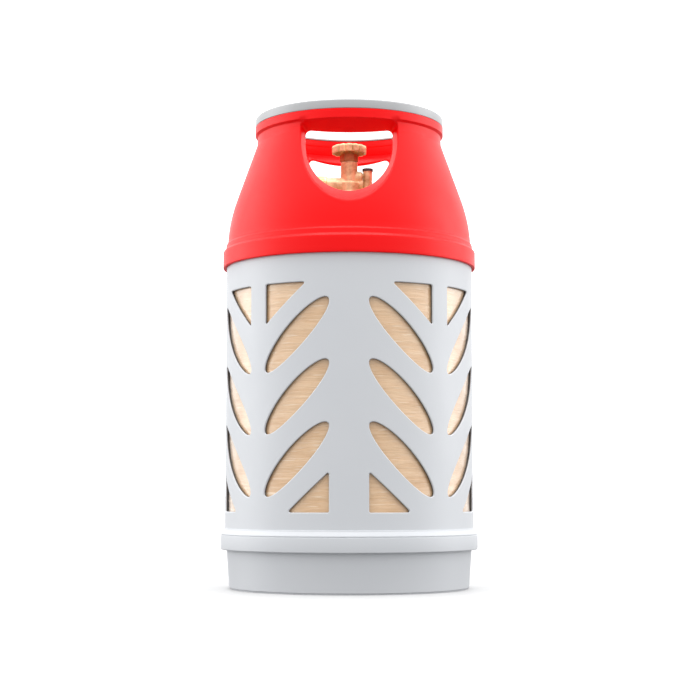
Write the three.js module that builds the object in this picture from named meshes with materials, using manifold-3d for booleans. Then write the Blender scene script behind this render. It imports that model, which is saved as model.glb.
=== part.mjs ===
// A composite gas cylinder: a plastic-lined, glass-fibre-wound vessel in a casing of a foot, a windowed
// sleeve and a shroud with two hand holes and a grip ring, with a handwheel valve inside the shroud.
// Millimetres, +Z up. The origin is the middle of the foot's underside. The front hand hole faces -Y, the
// valve's outlet -X and its relief valve +X. Profiles are (radius, height) outlines turned about the Z axis.

import * as THREE from "three";
import { mergeVertices } from "three/addons/utils/BufferGeometryUtils.js";
import Module from "manifold-3d";

const wasm = await Module();
wasm.setup();

// ---------------------------------------------------------------- driving dimensions

const GAP = 0.3;
const RADIAN = Math.PI / 180;

const FOOT_BOTTOM_R = 142;
const FOOT_TOP_R = 145.3;
const COLLAR_R = 152.3;
const COLLAR_BOTTOM_Z = 46;
const COLLAR_SHOULDER_Z = 64;
const COLLAR_TOP_Z = 71;
const FOOT_WALL = 3.6;
const CRADLE_R = 118;
const STACKING_Z = 12;
const RIB_COUNT = 12;
const RIB_THICKNESS = 3;
const RIB_ANGLE = 15;

const SLEEVE_R = 147.4;
const SLEEVE_WALL = 3;
const SLEEVE_BOTTOM_Z = 50;
const SLEEVE_TOP_Z = 396;

const BAND_R = 151.5;
const BAND_BOTTOM_Z = 380;
const BAND_TOP_Z = 398;
const SHROUD_R = 146;
const SHROUD_Z = 412;
const NECK_R = 110.8;
const NECK_Z = 538;
const RIM_R = 113.8;
const RIM_Z = 552.2;
const SHROUD_WALL = 3.5;

const RING_TOP_Z = 563.4;
const RING_INNER_R = 102.5;
const RING_PLATE = 2;

const VESSEL_R = 143.6;
const VESSEL_LOW_Z = 88;
const VESSEL_HIGH_Z = 388;
const DOME_DEPTH = 75;
const WINDING = 3.6;
const LINER_WALL = 3.5;
const DOME_STEP = Math.PI / 10;
const BOTTOM_OPENING_R = 9.3;
const NECK_OPENING_R = 18.3;
const FLANGE_R = 35;
const FLANGE_Z = 452.4;

const BOSS_TOP_Z = 470;
const OUTLET_Z = 482.5;
const OUTLET_END_X = -40;
const RELIEF_X = 22.4;
const RELIEF_Z = 495.3;
const SEAT_Z = 478;
const BODY_TOP_Z = 512;
const WHEEL_BOTTOM_Z = 523.5;
const WHEEL_TOP_Z = 532.2;
const WHEEL_R = 21.25;

const CASING_STEPS = 40;
const VESSEL_STEPS = 32;
const ROUND_STEPS = 24;

// ---------------------------------------------------------------- shape helpers

// A closed outline of [radius, height] pairs turned about Z. Its points may run either way round.
function revolve(outline, steps) {
  const points = outline.map(([r, z]) => new THREE.Vector2(r, z));
  if (THREE.ShapeUtils.area(points) < 0) points.reverse();
  points.push(points[0].clone());
  return new THREE.LatheGeometry(points, steps).rotateX(Math.PI / 2);
}

// A ring of rectangular section.
function ring(innerR, outerR, lowZ, highZ, steps = ROUND_STEPS) {
  return revolve([[innerR, lowZ], [outerR, lowZ], [outerR, highZ], [innerR, highZ]], steps);
}

// An upright cylinder or regular prism.
function upright(r, lowZ, highZ, sides = ROUND_STEPS) {
  const geometry = new THREE.CylinderGeometry(r, r, highZ - lowZ, sides);
  return geometry.rotateX(Math.PI / 2).translate(0, 0, (lowZ + highZ) / 2);
}

// A cylinder along X.
function lengthwise(r, lowX, highX, z, sides = ROUND_STEPS) {
  const geometry = new THREE.CylinderGeometry(r, r, highX - lowX, sides);
  return geometry.rotateZ(Math.PI / 2).translate((lowX + highX) / 2, 0, z);
}

function block(lengthX, lengthY, lowZ, highZ) {
  return new THREE.BoxGeometry(lengthX, lengthY, highZ - lowZ).translate(0, 0, (lowZ + highZ) / 2);
}

// A flat outline of [radius, height] pairs given a thickness and stood on the plane y = 0.
function rib(outline, thickness) {
  const shape = new THREE.Shape(outline.map(([r, z]) => new THREE.Vector2(r, z)));
  const geometry = new THREE.ExtrudeGeometry(shape, { depth: thickness, bevelEnabled: false });
  return geometry.translate(0, 0, -thickness / 2).rotateX(Math.PI / 2);
}

// Copies of one geometry at equal angles about Z.
function around(geometry, count, firstAngle = 0) {
  const copies = [];
  for (let i = 0; i < count; i++) {
    copies.push(geometry.clone().rotateZ(firstAngle + (i * 2 * Math.PI) / count));
  }
  return copies;
}

// The geometry's mirror image in the plane x = 0, with its faces turned round to point outwards again.
function mirrored(geometry) {
  const image = geometry.clone().scale(-1, 1, 1);
  const at = image.attributes.position;
  const second = new THREE.Vector3();
  const third = new THREE.Vector3();
  for (let i = 0; i < at.count; i += 3) {
    second.fromBufferAttribute(at, i + 1);
    third.fromBufferAttribute(at, i + 2);
    at.setXYZ(i + 1, third.x, third.y, third.z);
    at.setXYZ(i + 2, second.x, second.y, second.z);
  }
  return image;
}

function toSolid(geometry) {
  const bare = geometry.clone();
  bare.deleteAttribute("normal");
  bare.deleteAttribute("uv");
  const merged = mergeVertices(bare, 1e-4);
  const mesh = new wasm.Mesh({
    numProp: 3,
    vertProperties: new Float32Array(merged.attributes.position.array),
    triVerts: new Uint32Array(merged.index.array),
  });
  return new wasm.Manifold(mesh);
}

function toGeometry(solid) {
  const mesh = solid.getMesh();
  const geometry = new THREE.BufferGeometry();
  geometry.setAttribute("position", new THREE.BufferAttribute(new Float32Array(mesh.vertProperties), 3));
  geometry.setIndex(new THREE.BufferAttribute(new Uint32Array(mesh.triVerts), 1));
  geometry.computeVertexNormals();
  return geometry;
}

// One body made of joined pieces, less the pieces cut away.
function shape(joined, cut = []) {
  let body = toSolid(joined[0]);
  for (const piece of joined.slice(1)) body = body.add(toSolid(piece));
  for (const piece of cut) body = body.subtract(toSolid(piece));
  return toGeometry(body);
}

// ---------------------------------------------------------------- materials

function paint(color, roughness, metalness = 0) {
  return new THREE.MeshStandardMaterial({ color, roughness, metalness });
}

const MATERIALS = {
  greyPlastic: paint(0xc9ced4, 0.5),
  redPlastic: paint(0xd80f14, 0.38),
  windings: paint(0xcfa377, 0.3),
  linerPlastic: paint(0xe4e2da, 0.5),
  brass: paint(0xc9a154, 0.3, 1),
  steel: paint(0xb5b8ba, 0.35, 1),
  rubber: paint(0x26272a, 0.8),
  nylon: paint(0xe6e0cc, 0.5),
  blackPlastic: paint(0x3c3d40, 0.5),
};

const group = new THREE.Group();

function add(name, material, geometry) {
  const mesh = new THREE.Mesh(geometry, MATERIALS[material]);
  mesh.name = name;
  group.add(mesh);
  return mesh;
}

// ---------------------------------------------------------------- pressure vessel

// Height of a dome's surface over its springing line, at a radius, for a vessel drawn in by an inset.
function domeRise(radius, inset) {
  const across = radius / (VESSEL_R - inset);
  return (DOME_DEPTH - inset) * Math.sqrt(1 - across * across);
}

// One dome's points from its opening out to its springing line, on an ellipse, with heights over that line.
function domeSide(inset, openingR) {
  const wide = VESSEL_R - inset;
  const start = Math.asin(openingR / wide);
  const turns = [start];
  for (let turn = DOME_STEP; turn < Math.PI / 2 + 0.01; turn += DOME_STEP) {
    if (turn > start + 0.02) turns.push(turn);
  }
  return turns.map((turn) => [wide * Math.sin(turn), (DOME_DEPTH - inset) * Math.cos(turn)]);
}

// The vessel's side from the bottom opening to the top one.
function vesselSide(inset, bottomR, topR) {
  const low = domeSide(inset, bottomR).map(([r, rise]) => [r, VESSEL_LOW_Z - rise]);
  const high = domeSide(inset, topR).map(([r, rise]) => [r, VESSEL_HIGH_Z + rise]);
  return [...low, ...high.reverse()];
}

function fibreOverwrap() {
  const outer = vesselSide(0, BOTTOM_OPENING_R, NECK_OPENING_R);
  const inner = vesselSide(WINDING, BOTTOM_OPENING_R, NECK_OPENING_R);
  return revolve([...outer, ...inner.reverse()], VESSEL_STEPS);
}

// The liner is open at the neck, where its top is drawn in to seat the boss's flange.
function liner() {
  const inset = WINDING + 2 * GAP;
  const outer = vesselSide(inset, 0, FLANGE_R + 0.5);
  const inner = vesselSide(inset + LINER_WALL, 0, 52);
  const seatZ = FLANGE_Z - GAP;
  const neck = [[FLANGE_R + 0.5, seatZ], [13, seatZ], [13, seatZ - LINER_WALL], [40, seatZ - LINER_WALL]];
  const outline = [...outer, ...neck, ...inner.reverse()];
  const points = outline.map(([r, z]) => new THREE.Vector2(r, z));
  return new THREE.LatheGeometry(points, VESSEL_STEPS).rotateX(Math.PI / 2);
}

function neckBoss() {
  const outline = [[12.5, FLANGE_Z], [FLANGE_R, FLANGE_Z], [FLANGE_R, FLANGE_Z + 4], [18, FLANGE_Z + 5]];
  outline.push([18, BOSS_TOP_Z]);
  outline.push([15.2, BOSS_TOP_Z], [15.2, BOSS_TOP_Z - 2.5], [12.5, BOSS_TOP_Z - 2.5]);
  return revolve(outline, ROUND_STEPS);
}

add("fibre_overwrap", "windings", fibreOverwrap());
add("liner", "linerPlastic", liner());
add("neck_boss", "brass", neckBoss());
add("neck_seal", "rubber", ring(12.6, 14.9, BOSS_TOP_Z - 2.2, BOSS_TOP_Z + 0.1));
add("tail_boss", "blackPlastic", upright(9, 12.5, 16.5));

// ---------------------------------------------------------------- foot

function baseFoot() {
  const wall = [[FOOT_BOTTOM_R - FOOT_WALL, 0], [FOOT_BOTTOM_R - 1, 0], [FOOT_BOTTOM_R, 1]];
  wall.push([FOOT_TOP_R, COLLAR_BOTTOM_Z], [COLLAR_R - 1, COLLAR_BOTTOM_Z], [COLLAR_R, COLLAR_BOTTOM_Z + 1]);
  wall.push([COLLAR_R, COLLAR_SHOULDER_Z - 1.5], [COLLAR_R - 1, COLLAR_SHOULDER_Z]);
  wall.push([SLEEVE_R + GAP + 0.4, COLLAR_TOP_Z], [SLEEVE_R + GAP, COLLAR_TOP_Z]);
  wall.push([SLEEVE_R + GAP, SLEEVE_BOTTOM_Z - GAP], [FOOT_TOP_R - 3.8, SLEEVE_BOTTOM_Z - GAP]);

  // The cradle: a ring under the lower dome, and inside it the seat that rests on the grip ring of a
  // cylinder below.
  const lipR = CRADLE_R - 19;
  const webTop = STACKING_Z + 3.5;
  const cradleTop = VESSEL_LOW_Z - domeRise(CRADLE_R, 0) - 0.4;
  const lipTop = VESSEL_LOW_Z - domeRise(lipR, 0) - 0.4;
  const cradle = [[CRADLE_R, 0.5], [CRADLE_R + 3.5, 0.5], [CRADLE_R + 3.5, cradleTop], [CRADLE_R, cradleTop]];
  cradle.push([CRADLE_R, webTop], [lipR + 3.5, webTop], [lipR + 3.5, lipTop], [lipR, lipTop]);
  cradle.push([lipR, STACKING_Z], [CRADLE_R, STACKING_Z]);

  const web = rib([[120, 6], [140.5, 6], [143, 45], [120, 44]], RIB_THICKNESS);
  const webs = around(web, RIB_COUNT, RIB_ANGLE * RADIAN);
  return shape([revolve(wall, CASING_STEPS), revolve(cradle, CASING_STEPS), ...webs]);
}

add("base_foot", "greyPlastic", baseFoot());

// ---------------------------------------------------------------- sleeve

const LEAF_LENGTH = 113.4;
const LEAF_WIDTH = 27.2;
const LEAF_TILT = 45.6 * RADIAN;
const LEAF_HEIGHTS = [149.2, 219.3, 289];
const LEAF_ANGLE = 24.6;
const OPEN_FROM = 8.75;
const OPEN_TO = 39.6;
const UPPER_TRIANGLE = { fromAngle: 20, lowZ: 303, highZ: 348 };
const LOWER_TRIANGLE = { toAngle: 27.3, lowZ: 90.5, highZ: 134.5 };
const TRIANGLE_CORNER = 4;
const arcLength = (degrees) => degrees * RADIAN * SLEEVE_R;

// A closed outline with its corners rounded, each by one short curve.
function roundedOutline(corners, radius) {
  const outline = new THREE.Shape();
  corners.forEach((corner, i) => {
    const before = corners[(i + corners.length - 1) % corners.length];
    const after = corners[(i + 1) % corners.length];
    const start = corner.clone().lerp(before, radius / corner.distanceTo(before));
    const end = corner.clone().lerp(after, radius / corner.distanceTo(after));
    if (i === 0) {
      outline.moveTo(start.x, start.y);
    } else {
      outline.lineTo(start.x, start.y);
    }
    outline.quadraticCurveTo(corner.x, corner.y, end.x, end.y);
  });
  outline.closePath();
  return outline;
}

// The windows of one column: three leaves that lean towards the wide strip at angle 0, and a triangle at
// each end.
function windowOutlines() {
  const outlines = LEAF_HEIGHTS.map((height) => {
    const leaf = new THREE.EllipseCurve(0, height, LEAF_LENGTH / 2, LEAF_WIDTH / 2);
    leaf.aRotation = -LEAF_TILT;
    return new THREE.Shape(leaf.getPoints(12).slice(0, -1));
  });
  const across = (degrees) => arcLength(degrees - LEAF_ANGLE);
  const { fromAngle, lowZ: tipZ, highZ: baseZ } = UPPER_TRIANGLE;
  const upper = [[across(OPEN_TO), baseZ], [across(fromAngle), baseZ], [across(OPEN_TO), tipZ]];
  const { toAngle, lowZ, highZ } = LOWER_TRIANGLE;
  const lower = [[across(OPEN_FROM), lowZ], [across(toAngle), lowZ], [across(OPEN_FROM), highZ]];
  for (const triangle of [upper, lower]) {
    const corners = triangle.map(([x, z]) => new THREE.Vector2(x, z));
    if (THREE.ShapeUtils.area(corners) < 0) corners.reverse();
    outlines.push(roundedOutline(corners, TRIANGLE_CORNER));
  }
  return outlines;
}

// A window's outline pushed out through the wall at an angle from the front, mirrored on every other column.
function windowCutter(outline, quarter, side) {
  const geometry = new THREE.ExtrudeGeometry(outline, { depth: 20, bevelEnabled: false, curveSegments: 2 });
  geometry.translate(0, 0, SLEEVE_R - 12).rotateX(Math.PI / 2).rotateZ(LEAF_ANGLE * RADIAN);
  return (side < 0 ? mirrored(geometry) : geometry).rotateZ(quarter * 90 * RADIAN);
}

function midSleeve() {
  const tube = ring(SLEEVE_R - SLEEVE_WALL, SLEEVE_R, SLEEVE_BOTTOM_Z, SLEEVE_TOP_Z, CASING_STEPS);
  const cutters = [];
  for (const outline of windowOutlines()) {
    for (let quarter = 0; quarter < 4; quarter++) {
      cutters.push(windowCutter(outline, quarter, 1), windowCutter(outline, quarter, -1));
    }
  }
  return shape([tube], cutters);
}

add("mid_sleeve", "greyPlastic", midSleeve());

// ---------------------------------------------------------------- shroud and grip ring

// The shroud's side from its shoulder up its bulge and straight slope, drawn in by an inset.
function shroudSide(inset) {
  const side = new THREE.Path();
  side.moveTo(SHROUD_R - inset, SHROUD_Z);
  side.quadraticCurveTo(143.6 - inset, 440, 134.3 - inset, 466);
  side.lineTo(112.7 - inset, 526);
  return side.getPoints(3).map((p) => [p.x, p.y]);
}

const HOLE_HALF_WIDTH = 56;
const HOLE_LOW_Z = 441;
const HOLE_HIGH_Z = 540;
const LIP_HALF_WIDTH = 49.9;
const LIP_LOW_Z = 456;
const LIP_HIGH_Z = 530;
const LIP_DEPTH = 12;
const LIP_WALL = 3.5;

// The shroud's outer radius at a height between its shoulder and its rim.
function wallRadius(height) {
  const side = [...shroudSide(0), [NECK_R + 0.4, 532], [NECK_R, NECK_Z], [NECK_R, RIM_Z]];
  const above = Math.max(1, side.findIndex(([, z]) => z > height));
  const [[lowR, lowZ], [highR, highZ]] = side.slice(above - 1, above + 1);
  return THREE.MathUtils.mapLinear(height, lowZ, highZ, lowR, highR);
}

// A hand hole's outline: a straight top with round corners over half an ellipse.
function holeOutline(halfWidth, lowZ, highZ) {
  const middleZ = highZ - 0.22 * (highZ - lowZ);
  const corner = 0.14 * (highZ - lowZ);
  const outline = new THREE.Shape();
  outline.moveTo(halfWidth, middleZ);
  outline.lineTo(halfWidth, highZ - corner);
  outline.quadraticCurveTo(halfWidth, highZ, halfWidth - corner, highZ);
  outline.lineTo(corner - halfWidth, highZ);
  outline.quadraticCurveTo(-halfWidth, highZ, -halfWidth, highZ - corner);
  outline.lineTo(-halfWidth, middleZ);
  outline.absellipse(0, middleZ, halfWidth, middleZ - lowZ, Math.PI, 2 * Math.PI, false);
  return outline;
}

// The hole's funnel as a solid: the outline narrows from the wall's outside to the lip's inner edge and
// follows the wall's curve. Depth runs from 0 at the outside to 1 at the lip's edge, and widen adds to the
// outline all round.
function holeFunnel(widen, fromDepth, toDepth) {
  const outline = holeOutline(HOLE_HALF_WIDTH, HOLE_LOW_Z, HOLE_HIGH_Z).getSpacedPoints(30).slice(0, -1);
  const extrude = { depth: 1, bevelEnabled: false };
  const geometry = new THREE.ExtrudeGeometry(new THREE.Shape(outline), extrude);
  const at = geometry.attributes.position;
  const middleZ = (HOLE_LOW_Z + HOLE_HIGH_Z) / 2;
  const halfHeight = (HOLE_HIGH_Z - HOLE_LOW_Z) / 2;
  for (let i = 0; i < at.count; i++) {
    const depth = THREE.MathUtils.lerp(toDepth, fromDepth, at.getZ(i));
    const halfWidth = THREE.MathUtils.lerp(HOLE_HALF_WIDTH, LIP_HALF_WIDTH, depth) + widen;
    const lowZ = THREE.MathUtils.lerp(HOLE_LOW_Z, LIP_LOW_Z, depth) - widen;
    const highZ = THREE.MathUtils.lerp(HOLE_HIGH_Z, LIP_HIGH_Z, depth) + widen;
    const x = (at.getX(i) / HOLE_HALF_WIDTH) * halfWidth;
    const z = (lowZ + highZ) / 2 + ((at.getY(i) - middleZ) / halfHeight) * ((highZ - lowZ) / 2);
    const surfaceR = wallRadius(z) - LIP_DEPTH * depth;
    at.setXYZ(i, x, -Math.sqrt(surfaceR * surfaceR - x * x), z);
  }
  return geometry;
}

function topShroud() {
  const grooveR = SLEEVE_R + GAP;
  const outline = [[grooveR, BAND_BOTTOM_Z], [BAND_R - 0.8, BAND_BOTTOM_Z], [BAND_R, BAND_BOTTOM_Z + 0.8]];
  outline.push([BAND_R, BAND_TOP_Z - 1], [BAND_R - 1, BAND_TOP_Z + 0.3], [148, 403.5], [147.2, 409.5]);
  outline.push(...shroudSide(0));
  outline.push([NECK_R + 0.4, 532], [NECK_R, NECK_Z], [RIM_R, 543], [RIM_R, RIM_Z], [RIM_R - 3.6, RIM_Z]);
  const rimTopZ = RING_TOP_Z - RING_PLATE - GAP;
  outline.push([RIM_R - 3.6, rimTopZ], [RING_INNER_R + 0.7, rimTopZ], [RING_INNER_R + 0.7, 545]);
  outline.push(...shroudSide(SHROUD_WALL).reverse());
  outline.push([SLEEVE_R - 3.5, 404], [SLEEVE_R - 3.5, SLEEVE_TOP_Z + GAP], [grooveR, SLEEVE_TOP_Z + GAP]);

  // Ribs between the wall and the upper dome.
  const foot = [126, 131, 136, 140, 142.6].map((r) => [r, VESSEL_HIGH_Z + domeRise(r, 0) + 0.7]);
  const web = rib([...foot, [145, 405], [142, 434], [126, 434]], RIB_THICKNESS);
  const webs = around(web, RIB_COUNT, RIB_ANGLE * RADIAN);

  const frame = holeFunnel(LIP_WALL, 0.15, 1);
  const hole = holeFunnel(0, -1.5, 1.5);
  return shape([revolve(outline, CASING_STEPS), ...webs, ...around(frame, 2)], around(hole, 2));
}

// An L-section ring that caps the shroud's rim.
function gripRing() {
  const plateZ = RING_TOP_Z - RING_PLATE;
  const outline = [[RIM_R - 3.3, RIM_Z + GAP], [RIM_R, RIM_Z + GAP], [RIM_R, RING_TOP_Z - 3]];
  outline.push([RIM_R - 0.9, RING_TOP_Z - 0.9], [RIM_R - 3, RING_TOP_Z], [RING_INNER_R + 1, RING_TOP_Z]);
  outline.push([RING_INNER_R, RING_TOP_Z - 1], [RING_INNER_R, plateZ], [RIM_R - 3.3, plateZ]);
  return revolve(outline, CASING_STEPS);
}

add("top_shroud", "redPlastic", topShroud());
add("grip_ring", "greyPlastic", gripRing());

// ---------------------------------------------------------------- valve body and gland

const CHAMBER_R = 5.5;
const CHAMBER_TOP_Z = 500;
const GLAND_BORE_R = 7.9;
const GLAND_TOP_Z = 521.8;
const OUTLET_R = 10.9;
const RELIEF_WAY_X = 7.7;
const COLUMN_R = 10.1;
const SHOULDER_R = 13;
const SHOULDER_Z = 486.6;
const STUB_R = 7.5;
const STUB_Z = 493;

function valveBody() {
  const footZ = BOSS_TOP_Z + 0.4;
  const turned = [[0, 450], [12.2, 450], [12.2, footZ], [16, footZ], [16, 474], [SHOULDER_R, 475]];
  turned.push([SHOULDER_R, SHOULDER_Z - 1], [SHOULDER_R - 1, SHOULDER_Z], [COLUMN_R, SHOULDER_Z]);
  turned.push([COLUMN_R, BODY_TOP_Z - 0.6], [COLUMN_R - 0.6, BODY_TOP_Z], [0, BODY_TOP_Z]);
  const points = turned.map(([r, z]) => new THREE.Vector2(r, z));
  const column = new THREE.LatheGeometry(points, ROUND_STEPS).rotateX(Math.PI / 2);
  const arm = lengthwise(OUTLET_R, OUTLET_END_X, -3, OUTLET_Z);
  const stub = lengthwise(STUB_R, 3, 16.5, STUB_Z);
  const ways = [
    upright(3.2, 440, SEAT_Z + 1, 16),
    upright(CHAMBER_R, SEAT_Z, CHAMBER_TOP_Z + 1),
    upright(GLAND_BORE_R, CHAMBER_TOP_Z, BODY_TOP_Z + 1),
    lengthwise(3.5, OUTLET_END_X - 1, 0, OUTLET_Z, 16),
    upright(1, 440, RELIEF_Z, 8).translate(RELIEF_WAY_X, 0, 0),
    lengthwise(1, RELIEF_WAY_X - 0.5, 14, RELIEF_Z, 8),
    lengthwise(3.3, 13.7, 20, RELIEF_Z, 12),
  ];
  return shape([column, arm, stub], ways);
}

function glandNut() {
  const hexagon = upright(11.2, BODY_TOP_Z + GAP, GLAND_TOP_Z, 6);
  const thread = upright(GLAND_BORE_R - GAP, 503, BODY_TOP_Z + 2);
  return shape([hexagon, thread], [upright(4.2, 500, GLAND_TOP_Z + 1, 16), upright(5.9, 500, 505.6)]);
}

add("valve_body", "brass", valveBody());
add("gland_nut", "brass", glandNut());
add("gland_seal", "rubber", ring(4.2, 5.6, 503.1, 505.3, 16));

// ---------------------------------------------------------------- handwheel, spindle and plug

const SQUARE = 5.6;
const SQUARE_TOP_Z = 528.2;
const TANG_THICKNESS = 2.4;
const SCALLOPS = 14;
const HUB_R = 7;
const RECESS_Z = 528.4;

function handwheel() {
  const dome = new THREE.Path();
  dome.moveTo(WHEEL_R, WHEEL_BOTTOM_Z);
  dome.lineTo(WHEEL_R, WHEEL_TOP_Z - 3.6);
  dome.quadraticCurveTo(WHEEL_R - 0.3, WHEEL_TOP_Z - 0.5, 17, WHEEL_TOP_Z);
  dome.lineTo(0, WHEEL_TOP_Z);
  const hollow = new THREE.Path();
  hollow.moveTo(0, GLAND_TOP_Z + 0.8);
  hollow.lineTo(HUB_R, GLAND_TOP_Z + 0.8);
  hollow.lineTo(HUB_R, WHEEL_TOP_Z - 3);
  hollow.quadraticCurveTo(17.8, WHEEL_TOP_Z - 3, 18.4, WHEEL_TOP_Z - 6);
  hollow.lineTo(18.6, WHEEL_BOTTOM_Z);
  const points = [...hollow.getPoints(4), ...dome.getPoints(5)];
  const bell = new THREE.LatheGeometry(points, SCALLOPS * 2).rotateX(Math.PI / 2);
  const scallop = upright(4.2, WHEEL_BOTTOM_Z - 1, WHEEL_TOP_Z + 1, 12).translate(WHEEL_R + 2.7, 0, 0);
  const recess = upright(6.2, RECESS_Z, WHEEL_TOP_Z + 1, 16);
  const square = block(SQUARE + 0.6, SQUARE + 0.6, 519, WHEEL_TOP_Z);
  return shape([bell], [recess, square, ...around(scallop, SCALLOPS)]);
}

function spindle() {
  const tang = block(6, TANG_THICKNESS, 491, 501);
  const collar = upright(6.4, CHAMBER_TOP_Z + 0.4, 502.6);
  const stem = upright(3.9, 502, 520.6, 16);
  const square = block(SQUARE, SQUARE, 520, SQUARE_TOP_Z);
  const end = upright(2.4, SQUARE_TOP_Z - 1, WHEEL_TOP_Z, 12);
  return shape([stem, collar, tang, square, end]);
}

function valvePlug() {
  const nose = upright(4.7, SEAT_Z + 0.9, 489);
  const thread = upright(5.2, 488, 496);
  const recess = upright(4.2, SEAT_Z, 481.3, 16);
  const slot = block(12, TANG_THICKNESS + 0.6, 487, 497);
  return shape([nose, thread], [recess, slot]);
}

add("handwheel", "brass", handwheel());
add("spindle", "brass", spindle());
add("wheel_nut", "steel", shape([upright(5.2, 528.7, 531.8, 6)], [upright(2.7, 528, 533, 12)]));
add("valve_plug", "brass", valvePlug());
add("plug_pad", "nylon", upright(3.9, SEAT_Z + 0.3, 481, 16));

// ---------------------------------------------------------------- outlet cap

const CAP_R = 12.6;
const CAP_MOUTH_X = -27;
const CAP_END_X = -46;

function outletCap() {
  const body = lengthwise(CAP_R, CAP_END_X, CAP_MOUTH_X, 0);
  const bore = lengthwise(OUTLET_R + GAP, CAP_END_X + 2.7, CAP_MOUTH_X + 1, 0);
  const groove = lengthwise(1.2, CAP_END_X - 1, CAP_MOUTH_X + 1, CAP_R + 0.6, 8);
  const grooves = [];
  for (let i = 0; i < 12; i++) grooves.push(groove.clone().rotateX((i / 6) * Math.PI));
  return shape([body], [bore, ...grooves]).translate(0, 0, OUTLET_Z);
}

function outletGasket() {
  const disc = lengthwise(10.4, CAP_END_X + 3, OUTLET_END_X - GAP, OUTLET_Z);
  return shape([disc], [lengthwise(4, CAP_END_X, OUTLET_END_X, OUTLET_Z, 16)]);
}

add("outlet_cap", "brass", outletCap());
add("outlet_gasket", "rubber", outletGasket());

// ---------------------------------------------------------------- relief valve

const RELIEF_SEAT_Z = 498;
const SPRING_LOW_Z = 480.9;
const SPRING_HIGH_Z = 490.7;
const SPRING_TURNS = 4;
const SPRING_R = 2.7;
const SPRING_WIRE = 0.9;

// An upright housing: a spring chamber, a web that guides the stem, the gas way and the seat.
function reliefHousing() {
  const outline = [[5.5, 475.5], [5.5, 501.5], [4.6, 501.5], [4.6, RELIEF_SEAT_Z], [2.6, RELIEF_SEAT_Z]];
  outline.push([2.6, 493], [1.5, 493], [1.5, 491], [4, 491], [4, 475.5]);
  const turned = revolve(outline, ROUND_STEPS);
  const spigot = lengthwise(3, 14 - RELIEF_X, -4, RELIEF_Z, 12);
  const way = lengthwise(1, 13 - RELIEF_X, -1, RELIEF_Z, 8);
  return shape([turned, spigot], [way]).translate(RELIEF_X, 0, 0);
}

function reliefPoppet() {
  const disc = upright(4, 499.2, 501, 16);
  const stem = upright(1.1, 478.6, 500, 10);
  return shape([disc, stem]).translate(RELIEF_X, 0, 0);
}

function reliefSpring() {
  const points = [];
  const steps = SPRING_TURNS * 10;
  const firstZ = SPRING_LOW_Z + SPRING_WIRE / 2;
  const lastZ = SPRING_HIGH_Z - SPRING_WIRE / 2;
  for (let i = 0; i <= steps; i++) {
    const turn = (i / 10) * 2 * Math.PI;
    const rise = THREE.MathUtils.lerp(firstZ, lastZ, i / steps);
    points.push(new THREE.Vector3(SPRING_R * Math.cos(turn), SPRING_R * Math.sin(turn), rise));
  }
  const wire = new THREE.Shape().absarc(0, 0, SPRING_WIRE / 2, 0, 2 * Math.PI);
  const path = new THREE.CatmullRomCurve3(points);
  const extrude = { steps, extrudePath: path, curveSegments: 3, bevelEnabled: false };
  return new THREE.ExtrudeGeometry(wire, extrude).translate(RELIEF_X, 0, 0);
}

// A dust cap: a shallow cup turned mouth down over the housing's top.
function reliefCap() {
  const outline = [[0, 503.4], [5.8, 503.4], [5.8, 500.9], [6.5, 500.9], [6.5, 503.8], [6, 504.3]];
  outline.push([0, 504.3]);
  const points = outline.map(([r, z]) => new THREE.Vector2(r, z));
  return new THREE.LatheGeometry(points, ROUND_STEPS).rotateX(Math.PI / 2).translate(RELIEF_X, 0, 0);
}

add("relief_housing", "brass", reliefHousing());
add("relief_plug", "brass", upright(3.7, 475.5, 478.2, 16).translate(RELIEF_X, 0, 0));
add("relief_poppet", "brass", reliefPoppet());
add("relief_seal", "rubber", ring(1.4, 3.7, 498.3, 498.9, 16).translate(RELIEF_X, 0, 0));
add("relief_spring", "steel", reliefSpring());
add("relief_nut", "steel", ring(1.4, 3.2, 478.9, 480.6, 12).translate(RELIEF_X, 0, 0));
add("relief_cap", "blackPlastic", reliefCap());

export default group;
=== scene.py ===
"""A composite gas cylinder: the fine meshes, materials, light and camera over its CAD frame.

Outlines are in millimetres, as (radius, height) points turned about the cylinder's axis, and MM turns them
into metres. The front hand hole faces -Y, the valve's outlet -X and its relief valve +X.
"""
import math

import bmesh
import bpy
from mathutils import Matrix, Vector
from mathutils.geometry import delaunay_2d_cdt


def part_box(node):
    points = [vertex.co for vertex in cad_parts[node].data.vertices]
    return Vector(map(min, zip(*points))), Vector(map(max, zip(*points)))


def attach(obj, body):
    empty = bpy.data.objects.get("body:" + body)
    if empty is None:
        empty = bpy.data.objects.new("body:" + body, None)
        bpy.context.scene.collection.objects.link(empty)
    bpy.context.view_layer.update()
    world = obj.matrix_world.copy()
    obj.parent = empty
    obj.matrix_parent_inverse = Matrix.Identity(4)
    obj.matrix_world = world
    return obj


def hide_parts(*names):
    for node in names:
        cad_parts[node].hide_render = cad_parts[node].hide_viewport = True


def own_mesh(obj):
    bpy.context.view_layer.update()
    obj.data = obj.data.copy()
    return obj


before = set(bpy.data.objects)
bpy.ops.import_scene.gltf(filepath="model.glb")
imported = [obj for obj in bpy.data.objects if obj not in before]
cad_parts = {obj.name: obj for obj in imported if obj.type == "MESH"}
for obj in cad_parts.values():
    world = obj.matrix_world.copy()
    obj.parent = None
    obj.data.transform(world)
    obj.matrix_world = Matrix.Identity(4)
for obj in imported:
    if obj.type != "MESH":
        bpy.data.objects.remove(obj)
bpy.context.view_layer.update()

MM = 0.001
TAU = 2 * math.pi


def size_of(node):
    """(lowest corner, highest corner) of a CAD node in millimetres."""
    low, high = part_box(node)
    return Vector(low) / MM, Vector(high) / MM


# ---------------------------------------------------------------- sizes, from the frame where it holds them

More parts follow.
